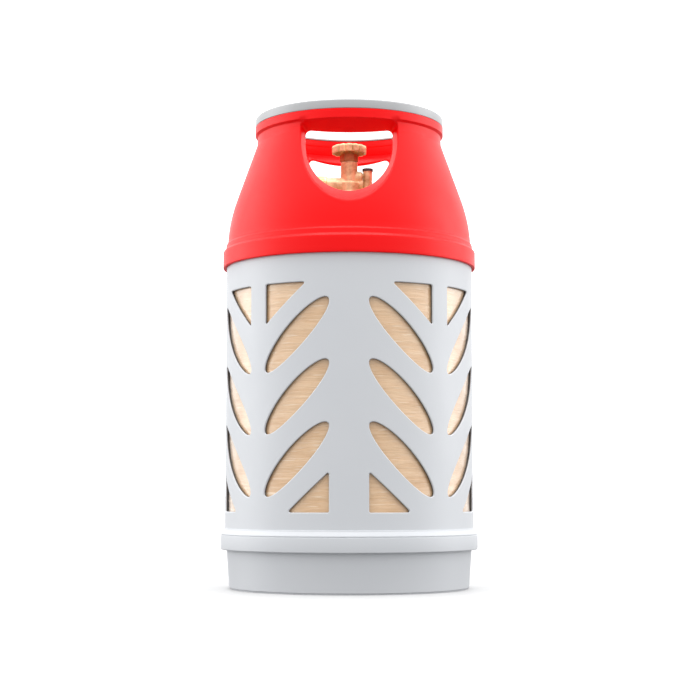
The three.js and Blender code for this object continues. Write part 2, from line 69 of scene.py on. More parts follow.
_, FOOT_HIGH = size_of("base_foot")
SLEEVE_LOW, SLEEVE_HIGH = size_of("mid_sleeve")
_, SHROUD_HIGH = size_of("top_shroud")
_, RING_HIGH = size_of("grip_ring")
_, VESSEL_HIGH = size_of("fibre_overwrap")
WHEEL_LOW, WHEEL_HIGH = size_of("handwheel")

COLLAR_R = FOOT_HIGH.x
SLEEVE_R = SLEEVE_HIGH.x
SLEEVE_WALL = 3.0
BAND_R = SHROUD_HIGH.x
RIM_R = RING_HIGH.x
RING_TOP = RING_HIGH.z
RING_HOLE_R = 102.5
VESSEL_R = VESSEL_HIGH.x
WHEEL_R = WHEEL_HIGH.y
COLUMNS = 240


# ---------------------------------------------------------------- outlines

def rounded(corners, closed=True, steps=5):
    """The outline through corners (r, z) or (r, z, radius), with an arc at a corner that gives a radius."""
    points = []
    count = len(corners)
    for i, corner in enumerate(corners):
        here = Vector(corner[:2])
        radius = corner[2] if len(corner) > 2 else 0
        if not radius or (not closed and i in (0, count - 1)):
            points.append(here)
            continue
        back = (Vector(corners[i - 1][:2]) - here).normalized()
        ahead = (Vector(corners[(i + 1) % count][:2]) - here).normalized()
        half = back.angle(ahead) / 2
        centre = here + (back + ahead).normalized() * radius / math.sin(half)
        start = here + back * radius / math.tan(half) - centre
        end = here + ahead * radius / math.tan(half) - centre
        sweep = start.angle(end)
        for k in range(steps + 1):
            share = k / steps
            arm = start * math.sin((1 - share) * sweep) + end * math.sin(share * sweep)
            points.append(centre + arm / math.sin(sweep))
    return points


def bezier(start, control, end, steps=10):
    """Points of a quadratic curve, both ends included."""
    a, b, c = Vector(start), Vector(control), Vector(end)
    times = [k / steps for k in range(steps + 1)]
    return [a * (1 - t) ** 2 + b * 2 * t * (1 - t) + c * t * t for t in times]


def even(points, longest):
    """The same polyline with its long stretches divided, so that no step is over the given length."""
    out = [Vector(points[0])]
    for a, b in zip(points, points[1:]):
        parts = max(1, math.ceil((b - a).length / longest))
        out += [a.lerp(b, k / parts) for k in range(1, parts + 1)]
    return out


def radius_at(side, height):
    """The radius of a side, a polyline of (r, z) points that only rises, at a height."""
    for a, b in zip(side, side[1:]):
        if a.y <= height <= b.y:
            return a.x + (b.x - a.x) * (height - a.y) / max(b.y - a.y, 1e-9)
    return side[0].x if height < side[0].y else side[-1].x


# ---------------------------------------------------------------- meshes

def build(name, vertices, faces, material, body, nodes, slot, sharp=35, normals=None):
    """A piece from vertices in millimetres. It rides on a body and replaces CAD nodes; slot is not used.
    normals gives the true normal of some vertices by index, where the mesh only approaches a turned
    surface."""
    mesh = bpy.data.meshes.new(name)
    mesh.from_pydata([Vector(v) * MM for v in vertices], [], faces)
    mesh.materials.append(material)
    mesh.polygons.foreach_set("use_smooth", [True] * len(mesh.polygons))
    if normals:
        every = [Vector(v.normal) for v in mesh.vertices]
        for i, normal in normals.items():
            every[i] = normal
        mesh.normals_split_custom_set_from_vertices(every)
    else:
        mesh.set_sharp_from_angle(angle=math.radians(sharp))
    piece = bpy.data.objects.new(name, mesh)
    bpy.context.scene.collection.objects.link(piece)
    return place(piece, body, nodes, slot)


def place(piece, body, nodes, slot):
    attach(piece, body)
    if nodes:
        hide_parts(*nodes)
    return piece


def turned(outline, columns=COLUMNS, turn=None):
    """Vertices and faces of a closed outline turned about Z. turn(r, z, angle) may give another radius."""
    vertices = []
    faces = []
    rows = len(outline)
    for c in range(columns):
        angle = TAU * c / columns
        for r, z in outline:
            radius = turn(r, z, angle) if turn else r
            vertices.append((radius * math.sin(angle), -radius * math.cos(angle), z))
    for c in range(columns):
        ahead = (c + 1) % columns
        for k in range(rows):
            up = (k + 1) % rows
            faces.append((c * rows + k, ahead * rows + k, ahead * rows + up, c * rows + up))
    return vertices, faces


def merged(vertices, faces, gap=1e-4):
    """The same surface with vertices at one place joined, faces without area dropped and all facing out."""
    mesh = bmesh.new()
    made = [mesh.verts.new(v) for v in vertices]
    for face in faces:
        if len(set(face)) > 2:
            mesh.faces.new([made[i] for i in face])
    bmesh.ops.remove_doubles(mesh, verts=mesh.verts, dist=gap)
    bmesh.ops.dissolve_degenerate(mesh, dist=gap, edges=mesh.edges)
    bmesh.ops.recalc_face_normals(mesh, faces=mesh.faces)
    mesh.verts.index_update()
    result = [v.co.copy() for v in mesh.verts], [[v.index for v in f.verts] for f in mesh.faces]
    mesh.free()
    return result


def joined(*parts):
    """Several (vertices, faces) as one."""
    vertices = []
    faces = []
    for more, their in parts:
        faces += [tuple(i + len(vertices) for i in face) for face in their]
        vertices += [Vector(v) for v in more]
    return vertices, faces


def moved(part, matrix):
    vertices, faces = part
    return [matrix @ Vector(v) for v in vertices], faces


def loft(loops):
    """Faces between closed loops of points, all with the same count."""
    vertices = [p for loop in loops for p in loop]
    count = len(loops[0])
    faces = []
    for row in range(0, count * (len(loops) - 1), count):
        for i in range(count):
            ahead = (i + 1) % count
            faces.append((row + i, row + ahead, row + count + ahead, row + count + i))
    return vertices, faces


def sheet_with_holes(across, up, holes, margin):
    """A rectangle of (u, v) points on a grid of across by up values, with the outlines of holes cut out.
    Grid points inside a hole, or nearer to it than margin, are left out. Returns 2D points and triangles."""
    edge = [(u, up[0]) for u in across] + [(across[-1], v) for v in up[1:]]
    edge += [(u, up[-1]) for u in reversed(across[:-1])] + [(across[0], v) for v in reversed(up[1:-1])]
    points = [Vector(p) for p in edge]
    loops = [list(range(len(points)))]
    for hole in holes:
        loops.append(list(range(len(points), len(points) + len(hole))))
        points += hole
    boxes = []
    for hole in holes:
        us, vs = [p.x for p in hole], [p.y for p in hole]
        boxes.append((min(us), max(us), min(vs), max(vs)))
    for u in across[1:-1]:
        for v in up[1:-1]:
            if not any(
                low_u - margin < u < high_u + margin
                and low_v - margin < v < high_v + margin
                and near(Vector((u, v)), hole, margin)
                for (low_u, high_u, low_v, high_v), hole in zip(boxes, holes)
            ):
                points.append(Vector((u, v)))
    edges = [(loop[i - 1], loop[i]) for loop in loops for i in range(len(loop))]
    out, _, triangles, _, _, sources = delaunay_2d_cdt(points, edges, loops, 1, 1e-6, True)
    kept = [tri for tri, source in zip(triangles, sources) if source == [0]]
    return out, [tuple(tri) for tri in kept]


def near(point, outline, margin):
    """True if a point is inside an outline or nearer to it than margin."""
    inside = False
    for a, b in zip(outline, outline[1:] + outline[:1]):
        span = b - a
        share = min(1, max(0, (point - a).dot(span) / span.length_squared))
        if (a + span * share - point).length < margin:
            return True
        if (a.y > point.y) != (b.y > point.y) and point.x < a.x + (point.y - a.y) * span.x / span.y:
            inside = not inside
    return inside


# ---------------------------------------------------------------- materials

class Nodes:
    """A material's node tree, with short calls for what the materials here use."""

    def __init__(self, name):
        self.material = bpy.data.materials.new(name)
        self.material.use_nodes = True
        self.tree = self.material.node_tree
        self.shader = self.tree.nodes["Principled BSDF"]
        self.place = self.add("ShaderNodeTexCoord").outputs["Object"]

    def add(self, kind, **inputs):
        node = self.tree.nodes.new(kind)
        for key, value in inputs.items():
            self.put(node.inputs[key.replace("_", " ")], value)
        return node

    def put(self, socket, value):
        if isinstance(value, bpy.types.NodeSocket):
            self.tree.links.new(value, socket)
        else:
            socket.default_value = value

    def math(self, operation, first, second=0.0):
        node = self.tree.nodes.new("ShaderNodeMath")
        node.operation = operation
        self.put(node.inputs[0], first)
        self.put(node.inputs[1], second)
        return node.outputs[0]

    def stretched(self, x, y, z):
        """Object coordinates scaled along each axis."""
        node = self.add("ShaderNodeMapping", Vector=self.place)
        node.inputs["Scale"].default_value = (x, y, z)
        return node.outputs[0]

    def reach(self):
        """The distance from the cylinder's axis."""
        x, y, _ = self.add("ShaderNodeSeparateXYZ", Vector=self.place).outputs
        return self.math("SQRT", self.math("ADD", self.math("MULTIPLY", x, x), self.math("MULTIPLY", y, y)))

    def round_the_axis(self, around, along):
        """Coordinates that run round the cylinder's axis and along it, each with a scale."""
        x, y, z = self.add("ShaderNodeSeparateXYZ", Vector=self.place).outputs
        reach = self.reach()
        cosine = self.math("DIVIDE", x, reach)
        sine = self.math("DIVIDE", y, reach)
        both = self.add("ShaderNodeCombineXYZ")
        self.put(both.inputs[0], self.math("MULTIPLY", cosine, around))
        self.put(both.inputs[1], self.math("MULTIPLY", sine, around))
        self.put(both.inputs[2], self.math("MULTIPLY", z, along))
        return both.outputs[0]

    def noise(self, vector, scale, detail=2.0, roughness=0.5):
        node = self.add("ShaderNodeTexNoise", Vector=vector, Scale=scale, Detail=detail, Roughness=roughness)
        return node.outputs["Fac"]

    def spread(self, value, low, high, out_low, out_high):
        """value from low to high, mapped on to out_low to out_high and clamped there."""
        node = self.add("ShaderNodeMapRange")
        for key, number in zip(("From Min", "From Max", "To Min", "To Max"), (low, high, out_low, out_high)):
            node.inputs[key].default_value = number
        self.put(node.inputs["Value"], value)
        return node.outputs[0]

    def mix(self, share, first, second):
        node = self.tree.nodes.new("ShaderNodeMix")
        node.data_type = "RGBA"
        self.put(node.inputs[0], share)
        self.put(node.inputs[6], first)
        self.put(node.inputs[7], second)
        return node.outputs[2]

    def bump(self, height, distance, strength=1.0, normal=None):
        node = self.add("ShaderNodeBump", Height=height, Distance=distance, Strength=strength)
        if normal:
            self.put(node.inputs["Normal"], normal)
        return node.outputs[0]

    def finish(self, color, roughness, normal=None, **constants):
        self.put(self.shader.inputs["Base Color"], color)
        self.put(self.shader.inputs["Roughness"], roughness)
        if normal:
            self.put(self.shader.inputs["Normal"], normal)
        for key, value in constants.items():
            self.shader.inputs[key.replace("_", " ")].default_value = value
        return self.material


def moulded_plastic(name, color, shade, low_rough, high_rough, grain=0.00004, gloss=0.5, painted_shade_inside=None):
    """Moulded polyethylene: a fine eroded grain, slow drifts in colour and gloss, and a few fine scuffs.
    The last argument, if given, is (radius, colour): nearer to the axis than that radius the plastic takes
    that colour, which is painted shade for shadowed inner faces and walls."""
    n = Nodes(name)
    drift = n.spread(n.noise(n.place, 7, 3), 0.3, 0.7, 0, 1)
    paint = n.mix(drift, (*color, 1), (*shade, 1))
    if painted_shade_inside:
        radius, inside = painted_shade_inside
        # Painted shade: nearer to the axis than the radius the colour turns to the given dark, standing in
        # for the shadow on cut walls.
        clear_of_painted_shade = n.spread(n.reach(), (radius - 0.25) * MM, radius * MM, 0, 1)
        paint = n.mix(clear_of_painted_shade, (*inside, 1), paint)
    speck = n.spread(n.noise(n.place, 900, 2), 0.35, 0.65, 0, 1)
    scuff = n.spread(n.noise(n.stretched(9, 9, 160), 3.1, 4, 0.7), 0.62, 0.72, 0, 1)
    rough = n.spread(n.noise(n.place, 22, 3), 0.3, 0.7, low_rough, high_rough)
    rough = n.math("ADD", rough, n.math("MULTIPLY", scuff, 0.05))
    fine = n.bump(speck, grain, 0.5)
    waves = n.bump(n.noise(n.place, 14, 1), 0.0006, 0.25, fine)
    return n.finish(paint, rough, waves, Specular_IOR_Level=gloss)


def wound_fibre():
    """Glass fibre wound in clear resin: fine hoop lines with crossing under-layers, short pale streaks that
    are painted highlight, standing in for glints, and a coat."""
    n = Nodes("wound_glass_fibre")
    hoops = n.noise(n.round_the_axis(0.45, 34), 9, 4, 0.6)
    strands = n.noise(n.round_the_axis(1.1, 210), 7, 3, 0.6)
    patches = n.spread(n.noise(n.round_the_axis(2.4, 11), 1.6, 3), 0.35, 0.65, 0, 1)
    # Painted highlight: short pale streaks standing in for glints of light on the resin.
    painted_glints = n.spread(n.noise(n.round_the_axis(1.0, 105), 6, 2, 0.5), 0.60, 0.76, 0, 1)
    tan = n.mix(patches, (0.80, 0.52, 0.30, 1), (0.69, 0.42, 0.22, 1))
    tan = n.mix(n.spread(hoops, 0.35, 0.65, 0, 0.5), tan, (0.85, 0.62, 0.40, 1))
    tan = n.mix(n.spread(strands, 0.54, 0.7, 0, 0.4), tan, (0.52, 0.29, 0.13, 1))
    tan = n.mix(n.math("MULTIPLY", painted_glints, 0.6), tan, (0.97, 0.84, 0.68, 1))
    rough = n.spread(strands, 0.3, 0.7, 0.24, 0.42)
    ridges = n.bump(hoops, 0.0012, 0.5)
    threads = n.bump(strands, 0.0005, 0.45, ridges)
    return n.finish(tan, rough, threads, Coat_Weight=1.0, Coat_Roughness=0.22, Specular_IOR_Level=0.6,
                    Sheen_Weight=0.7, Sheen_Roughness=0.35)


def cast_brass(name, color, dark, low_rough, high_rough, grain):
    """Forged or turned brass: a blotchy tone, a grain, and darker stains in patches."""
    n = Nodes(name)
    stain = n.spread(n.noise(n.place, 95, 4, 0.65), 0.42, 0.68, 0, 1)
    tone = n.mix(n.math("MULTIPLY", stain, 0.75), (*color, 1), (*dark, 1))
    fine = n.noise(n.place, 1500, 3)
    rough = n.spread(n.noise(n.place, 240, 3), 0.3, 0.7, low_rough, high_rough)
    return n.finish(tone, rough, n.bump(fine, grain, 0.6), Metallic=0.3)


def turned_metal(name, color, axis_scale, low_rough, high_rough):
    """Metal with fine tool marks across its axis."""
    n = Nodes(name)
    marks = n.noise(n.stretched(*axis_scale), 9, 3, 0.6)
    tone = n.mix(n.spread(marks, 0.35, 0.65, 0, 0.5), (*color, 1), (*(c * 0.7 for c in color), 1))
    rough = n.spread(n.noise(n.place, 300, 2), 0.3, 0.7, low_rough, high_rough)
    return n.finish(tone, rough, n.bump(marks, 0.00006, 0.5), Metallic=1.0)


def soft_material(name, color, shade, rough):
    """Rubber, nylon or liner plastic: dull, with a powdery bloom."""
    n = Nodes(name)
    bloom = n.spread(n.noise(n.place, 120, 4, 0.7), 0.4, 0.7, 0, 1)
    tone = n.mix(bloom, (*color, 1), (*shade, 1))
    roughness = n.spread(bloom, 0, 1, rough, rough + 0.15)
    return n.finish(tone, roughness, n.bump(n.noise(n.place, 700, 2), 0.00005, 0.5))


GREY = moulded_plastic("grey_polyethylene", (0.635, 0.652, 0.68), (0.615, 0.634, 0.665), 0.44, 0.52)
# The sleeve's grey, with painted shade: its inner face and window walls are painted near-black where only
# shadow falls.
SLEEVE_GREY = moulded_plastic(
    "grey_sleeve_polyethylene", (0.635, 0.652, 0.68), (0.615, 0.634, 0.665), 0.44, 0.52,
    painted_shade_inside=(SLEEVE_R - 1.3, (0.09, 0.09, 0.095)),
)
RING_GREY = moulded_plastic("grey_ring_polyethylene", (0.44, 0.445, 0.455), (0.42, 0.43, 0.44), 0.3, 0.38)
RED = moulded_plastic("red_polyethylene", (0.98, 0.002, 0.004), (0.93, 0.0015, 0.003), 0.36, 0.44, gloss=0.18)
FIBRE = wound_fibre()
BRASS = cast_brass("forged_brass", (0.92, 0.79, 0.47), (0.44, 0.27, 0.11), 0.36, 0.5, 0.00012)
# A darker copy of the brass: painted shade for the gland nut, which lies in the handwheel's shadow.
PAINTED_SHADE_BRASS = cast_brass("painted_shade_brass", (0.50, 0.29, 0.12), (0.24, 0.12, 0.05), 0.36, 0.5, 0.00012)
TURNED_BRASS = turned_metal("turned_brass", (0.86, 0.6, 0.3), (30, 30, 900), 0.28, 0.4)
STEEL = turned_metal("plated_steel", (0.62, 0.63, 0.65), (30, 30, 900), 0.22, 0.36)
RUBBER = soft_material("nitrile_rubber", (0.022, 0.022, 0.023), (0.06, 0.06, 0.062), 0.6)
NYLON = soft_material("nylon", (0.78, 0.74, 0.62), (0.7, 0.66, 0.55), 0.42)
LINER = soft_material("liner_polyethylene", (0.80, 0.79, 0.74), (0.74, 0.73, 0.68), 0.4)
BLACK = soft_material("dark_plastic", (0.07, 0.07, 0.075), (0.1, 0.1, 0.105), 0.4)


# ---------------------------------------------------------------- foot

CASING_RIBS = 12
RIB_THICK = 3
RIB_SOFT = 0.5


def foot():
    """The foot: a wall whose collar takes the sleeve, a cradle under the vessel, and ribs between them."""
    bottom_r = COLLAR_R - 10.3
    top_r = COLLAR_R - 7
    groove_r = SLEEVE_R + 0.3
    groove_floor = 49.7
    cradle_r = 118
    wall = rounded([
        (bottom_r - 3.6, 0, 0.6), (bottom_r - 1.6, 0, 0.4), (bottom_r - 1.2, 1.3, 0.3),
        (bottom_r + 0.2, 1.9, 0.6), (top_r, 46.4, 0.6), (COLLAR_R, 46, 1.2), (COLLAR_R, 62.6, 0.2),
        (COLLAR_R - 0.8, 62.9, 0.2), (COLLAR_R - 0.8, 63.6, 0.2), (COLLAR_R - 0.2, 64, 0.3),
        (COLLAR_R - 0.7, 65.2, 0.6), (groove_r + 1.2, 69.2, 2.2), (groove_r + 0.8, FOOT_HIGH.z, 0.5),
        (groove_r, FOOT_HIGH.z, 0.2), (groove_r, groove_floor), (top_r - 3.8, groove_floor, 0.6),
    ])
    cradle = rounded([
        (cradle_r, 0.5, 0.6), (121.5, 0.5, 0.6), (121.5, 44.9, 0.5), (cradle_r, 44.4, 0.5),
        (cradle_r, 15.5, 1.2), (102.5, 15.5, 1.2), (102.5, 33.3, 0.5), (99, 32.9, 0.5), (99, 12, 1.2),
        (cradle_r, 12, 0.9),
    ])
    web = [(120, 6.4), (140.2, 6.4), (142.6, 45), (120, 44)]
    vertices, faces = joined(turned(wall), turned(cradle), *ribs_round(web))
    return build("foot_shell", vertices, faces, GREY, "cylinder", ["base_foot"], "grey_plastic", sharp=32)


def ribs_round(outline):
    """Ribs of one outline all round the casing, the first half a pitch from the front."""
    pitch = 360 / CASING_RIBS
    return [rib(outline, pitch * (k + 0.5)) for k in range(CASING_RIBS)]


def rib(outline, degrees):
    """A flat plate with its long edges softened, standing on a radius at an angle."""
    plate = rounded([(*corner, RIB_SOFT) for corner in outline], steps=2)
    half = RIB_THICK / 2
    middle = sum(plate, Vector((0, 0))) / len(plate)
    loops = []
    for y, inset in ((-half, RIB_SOFT), (-half + RIB_SOFT, 0), (half - RIB_SOFT, 0), (half, RIB_SOFT)):
        drawn_in = [p + (middle - p).normalized() * inset for p in plate]
        loops.append([Vector((p.x, y, p.y)) for p in drawn_in])
    vertices, faces = loft(loops)
    count = len(plate)
    faces.append(tuple(reversed(range(count))))
    faces.append(tuple(range(3 * count, 4 * count)))
    return moved(merged(vertices, faces), Matrix.Rotation(math.radians(degrees), 4, "Z"))


# ---------------------------------------------------------------- sleeve

# The windows repeat in sectors, every other one mirrored. Angles are in degrees from a sector's first edge.
SECTOR = 45
OPEN_FROM = 8.75
OPEN_TO = 39.6
LEAF_ANGLE = 24.6
LEAF_HEIGHTS = (149.2, 219.3, 289)
LEAF_HALF_LENGTH = 56.7
LEAF_HALF_WIDTH = 13.6
LEAF_LEAN = 45.6
ARC = math.radians(SLEEVE_R)  # millimetres of arc in a degree
WINDOW_MARGIN = 1.2


def leaf(height, steps=44):
    """A leaf window: a leaning ellipse, as (arc length, height) points."""
    lean = Matrix.Rotation(math.radians(-LEAF_LEAN), 2)
    middle = Vector((LEAF_ANGLE * ARC, height))
    points = []
    for k in range(steps):
        angle = TAU * k / steps
        point = Vector((LEAF_HALF_LENGTH * math.cos(angle), LEAF_HALF_WIDTH * math.sin(angle)))
        points.append(middle + lean @ point)
    return points


def triangle(corners):
    """A triangular window with round corners, each given as (angle, height, radius)."""
    return even(rounded([(u * ARC, z, radius) for u, z, radius in corners], steps=7), 6)


def offset(outline, out):
    """A closed counterclockwise outline moved outwards."""
    points = []
    for i, here in enumerate(outline):
        along = outline[(i + 1) % len(outline)] - outline[i - 1]
        points.append(here + Vector((along.y, -along.x)).normalized() * out)
    return points


def counterclockwise(outline):
    """The outline, turned round if it runs clockwise."""
    area = sum(a.x * b.y - b.x * a.y for a, b in zip(outline, outline[1:] + outline[:1]))
    return outline if area > 0 else outline[::-1]


def on_cylinder(point, radius):
    """A 2D point of (arc length on the sleeve's outside, height) on a cylinder."""
    angle = point.x / SLEEVE_R
    return Vector((radius * math.sin(angle), -radius * math.cos(angle), point.y))


def sleeve():
    """The windowed sleeve: one sector's two faces, window edges and ends, repeated and mirrored round."""
    outlines = [leaf(height) for height in LEAF_HEIGHTS]
    outlines.append(triangle([(OPEN_TO + 0.5, 348, 2.6), (19.2, 348, 1.5), (OPEN_TO + 0.5, 301.6, 1.3)]))
    outlines.append(triangle([(OPEN_FROM, 90.5, 1.6), (28.1, 90.5, 1.5), (OPEN_FROM, 135.5, 1.3)]))
    outlines = [counterclockwise(o) for o in outlines]
    low, high = SLEEVE_LOW.z, SLEEVE_HIGH.z
    across = [SECTOR * ARC * k / 30 for k in range(31)]
    up = [low + (high - low) * k / 58 for k in range(59)]
    inner_r = SLEEVE_R - SLEEVE_WALL
    section = rounded([(1.5, 0), (0, 0, 1.2), (0, 2.7), (0.4, SLEEVE_WALL)], closed=False)

    outside = sheet_with_holes(across, up, [offset(o, section[0].x) for o in outlines], WINDOW_MARGIN)
    inside = sheet_with_holes(across, up, [offset(o, section[-1].x) for o in outlines], WINDOW_MARGIN)
    parts = [([on_cylinder(p, SLEEVE_R) for p in outside[0]], outside[1])]
    parts.append(([on_cylinder(p, inner_r) for p in inside[0]], [tri[::-1] for tri in inside[1]]))
    for outline in outlines:
        loops = [[on_cylinder(p, SLEEVE_R - depth) for p in offset(outline, out)] for out, depth in section]
        parts.append(loft(loops))
    for end in (low, high):
        strip = [on_cylinder(Vector((u, end)), SLEEVE_R) for u in across]
        strip += [on_cylinder(Vector((u, end)), inner_r) for u in across]
        count = len(across)
        parts.append((strip, [(i, i + 1, i + 1 + count, i + count) for i in range(count - 1)]))
    sector = joined(*parts)

    mirror = Matrix.Diagonal((-1, 1, 1, 1))
    everything = []
    for quarter in range(4):
        turn = Matrix.Rotation(quarter * math.pi / 2, 4, "Z")
        everything += [moved(sector, turn), moved(sector, turn @ mirror)]
    vertices, faces = merged(*joined(*everything), gap=2e-3)
    normals = {}
    for i, v in enumerate(vertices):
        if abs(math.hypot(v.x, v.y) - SLEEVE_R) < 0.01:
            normals[i] = Vector((v.x, v.y, 0)).normalized()
    return build("sleeve_shell", vertices, faces, SLEEVE_GREY, "cylinder", ["mid_sleeve"], "grey_plastic",
                 normals=normals)


# ---------------------------------------------------------------- shroud

WALL = 3.5
NECK_R = RIM_R - 3
RIM_SEAT_R = RIM_R - 3.6
RIM_SEAT_Z = 552.2
TONGUE_R = 103.2
TONGUE_TOP = 561.1
SKIRT_LOW = 380
SKIRT_HIGH = 399.2
SIDE_LOW = 412
SIDE_HIGH = 540

# A hand hole's outer edge and its lip's edge, as (half width, lowest z, highest z), and the lip between them.
HOLE = (56, 441, 541.5)
LIP = (49.9, 456, 532.3)
LIP_REACH = 12
LIP_DEPTH = 18.5
HOLE_CORNER = 6
BAR_LOW = 533
BAR_SAG = 7.2

# The part of the wall that is meshed again round each hand hole.
PATCH_LOW = 426
OUTER_PATCH_HIGH = 544.5
INNER_PATCH_HIGH = 546.5
PATCH_DEGREES = 36


def shroud_side():
    """The shroud's outside from the band's lower edge to the rim's upper one."""
    shoulder = rounded([
        (SLEEVE_R + 0.3, SKIRT_LOW), (BAND_R, SKIRT_LOW, 1.1), (BAND_R, SKIRT_HIGH, 1.8), (148.5, 402.3, 2.4),
        (147.9, 407.6, 1.4), (146.5, 409.6, 1.6), (146, SIDE_LOW), (145.4, 419),
    ], closed=False)
    bulge = bezier((145.4, 419), (143.4, 441), (134.3, 466), 12)
    neck = rounded([
        (134.3, 466), (111.4, 530.2, 16), (NECK_R, 540.6, 0.6), (RIM_R, 542.8, 0.6),
        (RIM_R, RIM_SEAT_Z, 0.5), (RIM_SEAT_R, RIM_SEAT_Z),
    ], closed=False, steps=7)
    return shoulder[:-1] + bulge[:-1] + neck


def hole_outline(half_width, low, high, corner):
    """A hand hole from the front, as (x, z) points: a straight top, round corners, half an ellipse below."""
    middle = high - 0.22 * (high - low)
    flat = half_width - corner
    shoulder = high - corner

    def round_corner(x, angle):
        return Vector((x, shoulder)) + corner * Vector((math.cos(angle), math.sin(angle)))

    points = [Vector((flat - k * flat / 7, high)) for k in range(14)]
    points += [round_corner(-flat, math.pi / 2 + k * math.pi / 14) for k in range(8)]
    points += [Vector((-half_width, shoulder + (middle - high + corner) * k / 3)) for k in range(1, 3)]
    for k in range(41):
        angle = math.pi + k * math.pi / 40
        points.append(Vector((half_width * math.cos(angle), middle + (middle - low) * math.sin(angle))))
    points += [Vector((half_width, middle + (shoulder - middle) * k / 3)) for k in range(1, 3)]
    points += [round_corner(flat, k * math.pi / 14) for k in range(7)]
    return points


def lip_outline(share):
    """The hole's outline between its outer edge, at share 0, and its lip's edge, at 1. Below 0 it is wider
    still. The grip bar over the hole makes its top sag towards the middle."""
    half_width, low, high = (a + (b - a) * share for a, b in zip(HOLE, LIP))
    if share < 0:
        high = HOLE[2] - share * 0.8
    outline = hole_outline(half_width, low, high, HOLE_CORNER + 1.5 * max(0, share))
    for point in outline:
        if point.y > (low + high) / 2:
            point.y -= BAR_SAG * max(0, share) * (1 - (point.x / half_width) ** 2)
    return outline


def eased(value):
    """0 below 0, 1 above 1, and a smooth step between."""
    value = min(1, max(0, value))
    return value * value * (3 - 2 * value)


def with_bar(radius, x, z):
    """The outer wall's radius where the rim above a hand hole comes down flush to make the grip bar."""
    over_hole = eased((HOLE[0] - 1 - abs(x)) / 4)
    return radius + (RIM_R - radius) * over_hole * eased((z - BAR_LOW) / 5)


def shroud():
    """The red shroud: a turned wall, meshed again round the hand holes, with their rolled lips, and ribs."""
    outer = even(shroud_side(), 5)
    band_inner = SLEEVE_R + 0.3
    inner_side = [Vector((p.x - WALL, p.y)) for p in outer if PATCH_LOW - 8 < p.y < 534]
    inner_side = [Vector((143, SIDE_LOW))] + inner_side
    inner_side += bezier(inner_side[-1], (106, 538), (104, 550), 6)[1:]
    rim = rounded([
        (RIM_SEAT_R, RIM_SEAT_Z), (RIM_SEAT_R, TONGUE_TOP, 0.5), (TONGUE_R, TONGUE_TOP, 0.8),
        (TONGUE_R, 553.8, 0.3), (104, 552.9, 0.3), (104, 550),
    ], closed=False, steps=3)[:-1]
    foot = [Vector((143.9, 404)), Vector((143.9, 396.3)), Vector((band_inner, 396.3))]
    outline = outer + rim[1:] + inner_side[::-1] + foot
    lower = [p for p in outer if SIDE_LOW <= p.y <= OUTER_PATCH_HIGH]

    columns = [TAU * k / COLUMNS for k in range(COLUMNS)]
    limit = math.radians(PATCH_DEGREES) + 1e-6
    vertices, faces = turned(outline)
    rows = len(outline)

    skipped = {}
    for name, side, high in (("outer", outer, OUTER_PATCH_HIGH), ("inner", inner_side, INNER_PATCH_HIGH)):
        skipped[name] = [p for p in side if PATCH_LOW <= p.y <= high]
    kept = []
    for face in faces:
        spots = [(i // rows, outline[i % rows]) for i in face]
        angles = [abs((columns[c] + math.pi / 2) % math.pi - math.pi / 2) for c, _ in spots]
        hidden = any(all(any(p is q for q in skipped[name]) for _, p in spots) for name in skipped)
        if not (hidden and max(angles) <= limit):
            kept.append(face)
    parts = [(vertices, kept)]

    # The lip's section, as (distance in from the hole's edge, depth behind the wall's outside).
    section = rounded([
        (-7, 0), (0, 0, 5), (10.8, 15.5, 2), (9.2, LIP_DEPTH, 1.3), (-4.5, WALL, 8), (-9, WALL),
    ], closed=False)
    deepest = max(range(len(section)), key=lambda k: section[k].y)
    loops = []
    for k, (out, depth) in enumerate(section):
        loop = []
        for x, z in lip_outline(out / LIP_REACH):
            outside = with_bar(radius_at(lower, z), x, z)
            wall_r = outside - depth
            if k > deepest:
                back = (section[deepest].y - depth) / (section[deepest].y - WALL)
                wall_r -= back * (outside - WALL - radius_at(inner_side, z))
            loop.append(Vector((x, -math.sqrt(wall_r * wall_r - x * x), z)))
        loops.append(loop)
    lip = loft(loops)

    reach = 125
    patch_angles = [a - TAU if a > math.pi else a for a in columns]
    patch_angles = sorted(a * reach for a in patch_angles if abs(a) <= limit)
    patches = [lip]
    for side, loop in ((skipped["outer"], loops[0]), (skipped["inner"], loops[-1])):
        flat = [Vector((math.asin(p.x / math.hypot(p.x, p.y)) * reach, p.z)) for p in loop]
        points, triangles = sheet_with_holes(patch_angles, [p.y for p in side], [counterclockwise(flat)], 1.6)
        curved = []
        for u, z in points:
            r = radius_at(side, z)
            if side is skipped["outer"]:
                r = with_bar(r, r * math.sin(u / reach), z)
            curved.append(Vector((r * math.sin(u / reach), -r * math.cos(u / reach), z)))
        patches.append((curved, triangles))
    for turn in (0, math.pi):
        parts += [moved(patch, Matrix.Rotation(turn, 4, "Z")) for patch in patches]

    web = [
        (126, 426.2), (131, 421), (136, 414.5), (140, 407.5), (143.6, 404), (142.6, 412), (139.9, 432),
        (126, 432),
    ]
    body, body_faces = merged(*joined(*parts), gap=2e-3)
    normals = side_normals(body, outer)
    ribbed = joined((body, body_faces), *ribs_round(web))
    return build("shroud_shell", *ribbed, RED, "cylinder", ["top_shroud"], "red_plastic", normals=normals)


